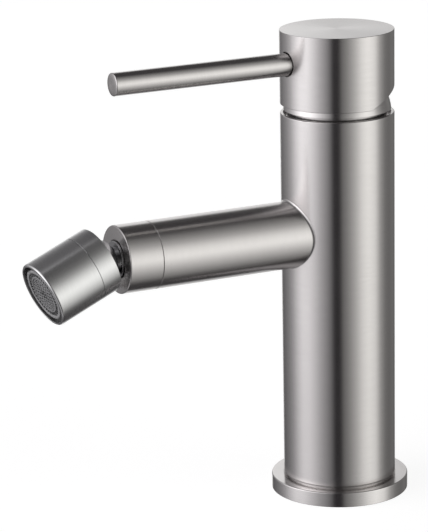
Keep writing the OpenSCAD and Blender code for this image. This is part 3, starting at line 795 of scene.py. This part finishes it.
@dataclass
class Nozzle(SubAssembly):
    """The socket ring and the sleeve that turn on the ball."""

    radius: float = 13.25
    ring_radius: float = 13.24
    rear: float = -3.0
    seam: float = 4.7
    front: float = 24.58
    socket: float = 9.2
    thread: float = 11.65
    spigot: float = 11.6
    spigot_rear: float = 0.9
    spigot_gap: float = 0.05
    recess: float = 10.6
    throat: float = 4.81
    aerator_bore: float = 10.55
    gasket_rear: float = 13.5
    mouth: float = 12.1
    mouth_depth: float = 2.0
    seam_gap: float = 0.2
    seam_depth: float = 0.7
    edge: float = 0.4
    mouth_edge: float = 0.12
    front_edge: float = 0.8
    seam_edge: float = 0.04

    def build(self) -> None:
        """Builds the ring and the sleeve."""
        for bm, name, finish, node in (
            (self._ring(), "socket_ring_turned", SATIN_STEEL, "socket_ring"),
            # The sleeve's bore carries painted shade, nearly black inside the mouth
            (self._sleeve(), "nozzle_sleeve_turned", PAINTED_SHADE_BORE_STEEL, "nozzle_sleeve"),
        ):
            self.make(bm, name, Axis.NOZZLE, finish, node, "nozzle")

    def _ring(self) -> BMesh:
        """Turns the socket ring."""
        step = self.spigot_rear - self.spigot_gap
        outline = [
            Corner(math.sqrt(self.socket**2 - self.rear**2), self.rear, about=(0, 0)),
            Corner(self.ring_radius, self.rear, self.edge),
            Corner(self.ring_radius, self.seam, self.seam_edge),
            Corner(self.thread, self.seam),
            Corner(self.thread, step),
            Corner(math.sqrt(self.socket**2 - step**2), step),
        ]
        return Turning(outline).bm

    def _sleeve(self) -> BMesh:
        """Turns the sleeve with its mouth and the recess over the ball."""
        outline = [
            Corner(self.throat, math.sqrt(self.recess**2 - self.throat**2), about=(0, 0)),
            Corner(self.throat, self.gasket_rear),
            Corner(self.aerator_bore, self.gasket_rear),
            Corner(self.aerator_bore, self.front - self.mouth_depth),
            Corner(self.mouth, self.front - self.mouth_depth),
            Corner(self.mouth, self.front, self.mouth_edge),
            Corner(self.radius, self.front, self.front_edge),
            Corner(self.radius, self.seam + self.seam_gap, self.seam_edge),
            Corner(self.radius - self.seam_depth, self.seam + self.seam_gap),
            Corner(self.radius - self.seam_depth, self.seam),
            Corner(self.spigot, self.seam),
            Corner(self.spigot, self.spigot_rear),
            Corner(math.sqrt(self.recess**2 - self.spigot_rear**2), self.spigot_rear),
        ]
        return Turning(outline).bm


@dataclass
class Aerator(SubAssembly):
    """The aerator in the nozzle's mouth."""

    radius: float = 10.5
    bore: float = 9.3
    back: float = 15.3
    front: float = 24.05
    edge: float = 0.15
    plate_radius: float = 9.25
    plate_back: float = 21.9
    plate_front: float = 23.75
    rim_front: float = 23.95
    rim_radius: float = 7.7
    rim_inner: float = 7.0
    groove: float = 6.75
    pocket_count: int = 40
    pocket_width: float = 0.96
    hole_pitch: float = 1.5
    hole_rings: int = 4
    holes_a_ring: int = 6
    hole_sides: int = 10
    hole_radius: float = 0.42
    centre_hole_radius: float = 0.58
    hole_floor: float = 21.0
    cutter_rise: float = 1.0
    pocket_margin: float = 0.05
    groove_depth: float = 0.4
    ring_half: float = 0.12
    ring_depth: float = 0.2
    fine_edge: float = 0.1

    def build(self) -> None:
        """Builds the housing and the grille and dresses the plates behind them."""
        outline = [
            Corner(self.bore, self.back),
            Corner(self.radius, self.back),
            Corner(self.radius, self.front, self.edge),
            Corner(self.bore, self.front, self.edge),
        ]
        holes = [self._openings()]
        for bm, name, finish, node, cutters in (
            (Turning(outline).bm, "aerator_housing_turned", PALE_PLASTIC, "aerator_housing", ()),
            # The grille carries painted shade in its openings and grooves
            (self._grille(), "aerator_grille_moulded", GRILLE_PLASTIC_PAINTED_SHADE, "aerator_grille", holes),
        ):
            self.make(bm, name, Axis.NOZZLE, finish, node, "nozzle", "grey_plastic", cutters)
        self.keep("aerator_diffuser", GREY_PLASTIC, Axis.NOZZLE)
        self.keep("filter_screen", GREY_PLASTIC, Axis.NOZZLE)
        self.keep("aerator_gasket", RUBBER, Axis.NOZZLE)

    def _grille(self) -> BMesh:
        """Turns the grille's plate with its raised rim and its fine rings."""
        outline = [
            Corner(0, self.plate_back),
            Corner(self.plate_radius, self.plate_back),
            Corner(self.plate_radius, self.plate_front, self.fine_edge),
            Corner(self.rim_radius, self.plate_front),
            Corner(self.rim_radius, self.rim_front, self.fine_edge),
            Corner(self.rim_inner, self.rim_front, self.fine_edge),
            Corner(self.rim_inner, self.plate_front - self.groove_depth),
            Corner(self.groove, self.plate_front - self.groove_depth),
            Corner(self.groove, self.plate_front),
        ]
        for ring in range(self.hole_rings, 0, -1):
            middle = (ring - 0.5) * self.hole_pitch
            outline += [
                Corner(middle + self.ring_half, self.plate_front),
                Corner(middle, self.plate_front - self.ring_depth),
                Corner(middle - self.ring_half, self.plate_front),
            ]
        outline.append(Corner(0, self.plate_front))
        return Turning(outline, closed=False, steps=COARSE).bm

    def _openings(self) -> BMesh:
        """Shapes the holes in rings and the pockets round the rim, as one cutter."""
        bm = bmesh.new()
        middle = (self.hole_floor + self.front) / 2 + self.cutter_rise
        depth = self.front - self.hole_floor + 2 * self.cutter_rise
        for ring in range(self.hole_rings + 1):
            radius = self.hole_radius if ring > 1 else self.centre_hole_radius
            count = max(1, self.holes_a_ring * ring)
            for place in self._places(count, ring * self.hole_pitch, middle):
                bmesh.ops.create_cone(
                    bm,
                    cap_ends=True,
                    segments=self.hole_sides,
                    radius1=radius,
                    radius2=radius,
                    depth=depth,
                    matrix=place,
                )
        length = self.plate_radius - self.rim_radius - 2 * self.pocket_margin
        reach = self.rim_radius + self.pocket_margin + length / 2
        size = Matrix.Diagonal((length, self.pocket_width, depth, 1))
        for place in self._places(self.pocket_count, reach, middle):
            bmesh.ops.create_cube(bm, size=1, matrix=place @ size)
        return bm

    @staticmethod
    def _places(count: int, reach: float, height: float) -> list[Matrix]:
        """Places evenly round the axis, at one reach from it and one height."""
        out = Matrix.Translation((reach, 0, height))
        turns = [math.tau * step / count for step in range(count)]
        return [Matrix.Rotation(turn, 4, "Z") @ out for turn in turns]


@dataclass
class Handle(SubAssembly):
    """The cap, the lever and what fixes them to the spindle."""

    radius: float = 22.5
    foot_z: float = 158.8
    top_z: float = 188.0
    cavity: float = 21.75
    pivot_z: float = 154.0
    ceiling_z: float = 172.84
    relief_start: float = 3.0
    relief_angle: float = 23.1
    lever_radius: float = 4.5
    lever_gap: float = 0.5
    lever_shoulder: float = 20.05
    lever_reach: float = 96.6
    thread_radius: float = 2.5
    thread_start: float = 8.05
    screw_hole: float = 2.55
    socket_half: float = 4.05
    socket_top: float = 183.2
    shoulder_gap: float = 0.05
    plug_reach: float = 40.0
    cutter_rise: float = 2.0
    top_rings: tuple[float, float] = (8.0, 16.0)
    tip_ring: float = 2.2
    edge: float = 0.4
    top_edge: float = 0.22
    foot_edge: float = 0.2
    wall_slack: float = 0.02

    def build(self) -> None:
        """Builds the cap and the lever and dresses the rest."""
        for bm, name, axis, node, cutters in (
            (self._cap(), "handle_cap_turned", Axis.BODY, "handle_cap", self._cap_cutters()),
            (self._lever(), "lever_rod_turned", Axis.LEVER, "lever_rod", ()),
        ):
            self.make(bm, name, axis, BRUSHED_STEEL, node, "handle", cutters=cutters)
        self.keep("spindle", DRAWN_STEEL)
        self.keep("set_screw", DRAWN_STEEL, Axis.LEVER)

    def _cap(self) -> BMesh:
        """Turns the cap round its cavity and cuts the relief under its rear."""
        rise = self.ceiling_z - self.pivot_z
        drop = self.foot_z - self.pivot_z
        outline = [
            Corner(0, self.top_z),
            *(Corner(ring, self.top_z) for ring in self.top_rings),
            Corner(self.radius, self.top_z, self.top_edge),
            Corner(self.radius, self.foot_z),
            Corner(math.sqrt(self.cavity**2 - drop**2), self.foot_z),
            Corner(math.sqrt(self.cavity**2 - rise**2), self.ceiling_z, about=(0, self.pivot_z)),
            Corner(0, self.ceiling_z),
        ]
        turning = Turning(outline, closed=False)
        slope = math.radians(self.relief_angle)
        turning.cut((0, self.relief_start, self.foot_z), (0, -math.sin(slope), math.cos(slope)))
        foot = [e for e in turning.bm.edges if self._in_foot(e)]
        round_edges(turning.bm, foot, self.foot_edge)
        return turning.bm

    def _in_foot(self, edge: BMEdge) -> bool:
        """Says whether an edge runs round the outside of the cap's foot."""
        wall = self.radius - self.wall_slack
        outside = all(math.hypot(v.co.x, v.co.y) > wall for v in edge.verts)
        below = any(face.normal.z < -WALL_SLOPE for face in edge.link_faces)
        return outside and below

    def _cap_cutters(self) -> list[BMesh]:
        """Makes what is cut out of the cap: the lever's seat, the screw's hole and the socket."""
        seat_radius = self.lever_radius + self.lever_gap
        seat = plug(seat_radius, self.lever_shoulder, self.plug_reach, Axis.LEVER)
        hole = plug(self.screw_hole, -self.plug_reach, 0, Axis.LEVER)
        socket = bmesh.new()
        width = 2 * self.socket_half
        height = self.socket_top - self.ceiling_z + self.cutter_rise
        bmesh.ops.create_cube(
            socket,
            size=1.0,
            matrix=Matrix.Translation((0, 0, self.socket_top - height / 2))
            @ Matrix.Diagonal((width, width, height, 1)),
        )
        return [seat, hole, socket]

    def _lever(self) -> BMesh:
        """Turns the lever with its threaded end."""
        shoulder = self.lever_shoulder + self.shoulder_gap
        outline = [
            Corner(0, self.thread_start),
            Corner(self.thread_radius, self.thread_start, self.foot_edge),
            Corner(self.thread_radius, shoulder),
            Corner(self.lever_radius, shoulder),
            Corner(self.lever_radius, self.lever_reach, self.edge),
            Corner(self.tip_ring, self.lever_reach),
            Corner(0, self.lever_reach),
        ]
        return Turning(outline, closed=False, steps=COARSE).bm


@dataclass
class DomeCover(SubAssembly):
    """The steel dome over the cartridge, seen under the cap and where the cap is cut away."""

    radius: float = 21.4
    wall: float = 1.4
    foot_z: float = 151.35
    skirt_radius: float = 21.15
    skirt_top: float = 153.6
    neck_radius: float = 19.6
    brim_z: float = 156.4
    centre: float = 154.0
    top: float = 12.2
    edge: float = 0.2

    def build(self) -> None:
        """Builds the dome on its neck and skirt."""
        inside = self.radius - self.wall
        neck = self.neck_radius - self.wall
        shoulder = self.brim_z + self.wall
        outline = [
            Corner(neck, self.foot_z),
            Corner(self.skirt_radius, self.foot_z),
            Corner(self.skirt_radius, self.skirt_top, self.edge),
            Corner(self.neck_radius, self.skirt_top),
            Corner(self.neck_radius, self.brim_z),
            Corner(self._reach(self.radius, self.brim_z), self.brim_z, self.edge),
            self._rim(self.radius),
            Corner(self._rim(inside).r, self.centre + self.top),
            Corner(self._reach(inside, shoulder), shoulder, about=(0, self.centre)),
            Corner(neck, shoulder),
        ]
        dome = Turning(outline, steps=MEDIUM).bm
        self.make(dome, "dome_cover_turned", Axis.BODY, BRUSHED_STEEL, "dome_cover")

    def _reach(self, radius: float, z: float) -> float:
        """The radius of one of the dome's spheres at a height."""
        return math.sqrt(radius**2 - (z - self.centre) ** 2)

    def _rim(self, radius: float) -> Corner:
        """The end of one of the dome's spheres at its opening."""
        top_z = self.centre + self.top
        return Corner(self._reach(radius, top_z), top_z, about=(0, self.centre))


class Cartridge(SubAssembly):
    """The ceramic cartridge inside the body, whose CAD shapes stay."""

    def build(self) -> None:
        """Dresses each of its nodes."""
        for node in ("cartridge_foot", "cartridge_housing", "disc_carrier", "cartridge_rotor"):
            self.keep(node, GREY_PLASTIC)
        for node in ("fixed_disc", "moving_disc"):
            self.keep(node, CERAMIC)
        for node in ("foot_seals", "disc_seals"):
            self.keep(node, RUBBER)
        self.keep("cartridge_nut", BRASS)
        self.keep("pivot_pin", DRAWN_STEEL)


# Pairs of an angle in degrees and the level of light there, in order
Stops = tuple[tuple[float, float], ...]


@dataclass(frozen=True)
class SoftBox:
    """A tall soft box, by how its light grows and fades round the mixer and up and down.

    A bearing is in degrees to the right of the line from the mixer to the camera, and a
    height in degrees above the horizon. The two levels are multiplied.
    """

    bearings: Stops
    heights: Stops
    tint: str = "#ffffff"


# The key light: a large box left of the camera, a little above the mixer's middle
LEFT_BOX = SoftBox(
    ((-180, 0.16), (-150, 0.26), (-125, 0.52), (-110, 0.84), (-96, 1.5), (-82, 2.1), (-66, 2.05),
     (-50, 1.45), (-38, 0.95), (-25, 0.56), (-16, 0.27), (-12, 0.03), (-10, 0.0)),
    ((-90, 0.26), (-50, 0.25), (-30, 0.28), (-16, 0.46), (-6, 0.88), (2, 1.0), (18, 1.0),
     (35, 0.68), (50, 0.42), (75, 0.22), (90, 0.2)),
    "#fefdff",
)
# The fill light: a box as tall on the right, set a little lower and weaker
RIGHT_BOX = SoftBox(
    ((1, 0.0), (4, 0.11), (8, 0.23), (16, 0.33), (25, 0.52), (36, 0.8), (48, 1.22), (62, 1.45),
     (78, 1.24), (92, 0.52), (108, 0.24), (125, 0.18), (140, 0.22), (155, 0.15), (180, 0.15)),
    ((-90, 0.1), (-62, 0.2), (-49, 0.3), (-33, 0.52), (-16, 0.82), (-5, 1.0), (4, 1.0),
     (16, 0.86), (24, 0.7), (38, 0.4), (53, 0.22), (70, 0.15), (90, 0.2)),
    "#fffffc",
)
# The dim room's own light, seen in the dark slot between the boxes
ROOM = SoftBox(((-180, 0.025), (180, 0.025)), ((-90, 1.0), (90, 1.0)), "#fff4ff")
# The white sweep behind the mixer, mirrored in metal and glass only; a level of one is white
SWEEP = SoftBox(
    ((-180, 1.15), (-175, 1.5), (-168, 0.95), (-162, 0.0), (162, 0.0), (168, 0.5), (175, 0.6),
     (180, 1.12)),
    ((-90, 0.0), (-58, 0.0), (-50, 1.0), (25, 1.0), (33, 0.0), (90, 0.0)),
)


@dataclass
class Studio:
    """The floor, the soft studio light and the camera."""

    azimuth: float = 63.479
    elevation: float = 15.308
    distance: float = 1091.56
    roll: float = -1.077
    focal_px: float = 2738.44
    target_x: float = -48.615
    target_z: float = 91.247
    centre_x: float = 216.254
    centre_y: float = 270.312
    width_px: int = 428
    height_px: int = 532
    clip: tuple[float, float] = (0.05, 20.0)
    floor_half: float = 1.5
    floor_cells: int = 8
    floor_tint: str = "#a8a8a8"
    floor_glow: float = 0.86

    def build(self) -> None:
        """Builds the whole stage."""
        self._camera()
        self._world()
        self._floor()
        bpy.context.scene.view_settings.view_transform = "Standard"

    def _camera(self) -> None:
        """Stands the camera where the photograph was taken from."""
        turn, tilt = math.radians(self.azimuth), math.radians(self.elevation)
        back = Vector(
            (math.sin(turn) * math.cos(tilt), -math.cos(turn) * math.cos(tilt), math.sin(tilt))
        )
        right = Vector((math.cos(turn), math.sin(turn), 0))
        up = back.cross(right)
        target = right * self.target_x + Vector((0, 0, self.target_z))
        roll = math.radians(self.roll)
        across = right * math.cos(roll) + up * math.sin(roll)
        upward = up * math.cos(roll) - right * math.sin(roll)
        matrix = Matrix((across, upward, back)).transposed().to_4x4()
        matrix.translation = (target + back * self.distance) * MM
        data = bpy.data.cameras.new("camera")
        data.lens = self.focal_px * data.sensor_width / self.height_px
        data.shift_x = (self.width_px / 2 - self.centre_x) / self.height_px
        data.shift_y = (self.centre_y - self.height_px / 2) / self.height_px
        data.clip_start, data.clip_end = self.clip
        camera = bpy.data.objects.new("camera", data)
        camera.matrix_world = matrix
        bpy.context.scene.collection.objects.link(camera)
        bpy.context.scene.camera = camera

    def _world(self) -> None:
        """Paints the studio: the soft boxes, the dim room and the white sweep behind."""
        world = bpy.data.worlds.new("studio")
        bpy.context.scene.world = world
        tree = empty_tree(world)
        bearing, height = self._directions(tree)
        total = (0.0, 0.0, 0.0)
        for box in (LEFT_BOX, RIGHT_BOX, ROOM):
            level = self._level(tree, box, bearing, height)
            light = add_node(
                tree, "VectorMath", {0: linear(box.tint)[:3], "Scale": level}, operation="SCALE"
            )
            total = add_node(tree, "VectorMath", {0: total, 1: light}, operation="ADD")
        camera, mirrored = self._rays(tree)
        sweep = self._level(tree, SWEEP, bearing, height)
        seen = add_node(tree, "Math", {0: mirrored, 1: sweep}, operation="MULTIPLY")
        white = add_node(tree, "Math", {0: camera, 1: seen}, operation="MAXIMUM")
        lit = add_node(tree, "Background", {"Color": total, "Strength": 1.0})
        plain = add_node(tree, "Background", {"Color": (1, 1, 1, 1), "Strength": 1.0})
        shown = add_node(tree, "MixShader", {"Fac": white, 1: lit, 2: plain})
        add_node(tree, "OutputWorld", {"Surface": shown})

    @staticmethod
    def _rays(tree: NodeTree) -> tuple[NodeSocket, Node]:
        """Adds the tests for a ray from the camera and for one that metal or glass sends on."""
        ray = add_node(tree, "LightPath")
        mirrored = add_node(
            tree,
            "Math",
            {0: ray.outputs["Is Glossy Ray"], 1: ray.outputs["Is Transmission Ray"]},
            operation="MAXIMUM",
        )
        return ray.outputs["Is Camera Ray"], mirrored

    def _directions(self, tree: NodeTree) -> tuple[Node, Node]:
        """Adds the bearing and the height of each direction of the world.

        Args:
            tree: the world's node tree.

        Returns:
            The bearing from the camera's side and the height above the horizon, in radians.
        """
        turn = math.radians(self.azimuth)
        way = add_node(tree, "TexCoord").outputs["Generated"]
        ahead = (math.sin(turn), -math.cos(turn), 0)
        right = (math.cos(turn), math.sin(turn), 0)
        front = add_node(tree, "VectorMath", {0: way, 1: ahead}, operation="DOT_PRODUCT")
        side = add_node(tree, "VectorMath", {0: way, 1: right}, operation="DOT_PRODUCT")
        bearing = add_node(
            tree, "Math", {0: side.outputs["Value"], 1: front.outputs["Value"]}, operation="ARCTAN2"
        )
        rise = add_node(tree, "SeparateXYZ", {"Vector": way})
        height = add_node(tree, "Math", {0: rise.outputs["Z"]}, operation="ARCSINE")
        return bearing, height

    def _level(self, tree: NodeTree, box: SoftBox, bearing: Node, height: Node) -> Node:
        """Adds the level of one soft box in each direction."""
        across = self._ramp(tree, bearing, box.bearings, span=180)
        upward = self._ramp(tree, height, box.heights, span=90)
        return add_node(tree, "Math", {0: across, 1: upward}, operation="MULTIPLY")

    @staticmethod
    def _ramp(tree: NodeTree, angle: Node, stops: Stops, span: float) -> Node:
        """Adds a line through light levels at given angles.

        Args:
            tree: the world's node tree.
            angle: the angle's node, in radians.
            stops: the levels.
            span: the angle at the line's end, in degrees; it starts at minus the span.

        Returns:
            The level's node.
        """
        share = add_node(
            tree,
            "MapRange",
            {"Value": angle, "From Min": -math.radians(span), "From Max": math.radians(span)},
        )
        ramp = add_node(tree, "ValToRGB", {"Fac": share})
        top = max(level for _, level in stops)
        elements = ramp.color_ramp.elements
        elements.remove(elements[1])
        for number, (degrees, level) in enumerate(stops):
            place = (degrees / span + 1) / 2
            element = elements[0] if number == 0 else elements.new(place)
            element.position = place
            element.color = (level / top, level / top, level / top, 1)
        return add_node(tree, "Math", {0: ramp, 1: top}, operation="MULTIPLY")

    def _floor(self) -> None:
        """Lays the white floor, which keeps the mixer's shadow."""
        bm = bmesh.new()
        cells = self.floor_cells
        bmesh.ops.create_grid(bm, x_segments=cells, y_segments=cells, size=self.floor_half)
        floor = _mesh_object(bm, "floor")
        material = bpy.data.materials.new("white_floor")
        tree = empty_tree(material)
        camera, mirrored = self._rays(tree)
        seen = add_node(tree, "Math", {0: mirrored, 1: camera}, operation="MAXIMUM")
        matt = add_node(tree, "BsdfDiffuse", {"Color": linear(self.floor_tint)})
        glow = add_node(tree, "Emission", {"Color": (1, 1, 1, 1), "Strength": self.floor_glow})
        both = add_node(tree, "AddShader", {0: matt, 1: glow})
        shown = add_node(tree, "MixShader", {"Fac": seen, 1: matt, 2: both})
        add_node(tree, "OutputMaterial", {"Surface": shown})
        floor.data.materials.append(material)
        floor.visible_glossy = False


def main() -> None:
    """Builds the mixer piece by piece and then its studio."""
    logging.basicConfig(level=logging.INFO, format="%(name)s: %(message)s")
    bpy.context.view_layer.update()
    for part in (
        Base, Body, Spout, BallJoint, Nozzle, Aerator, Handle, DomeCover, Cartridge, Studio
    ):
        part().build()


if __name__ == "__main__":
    main()
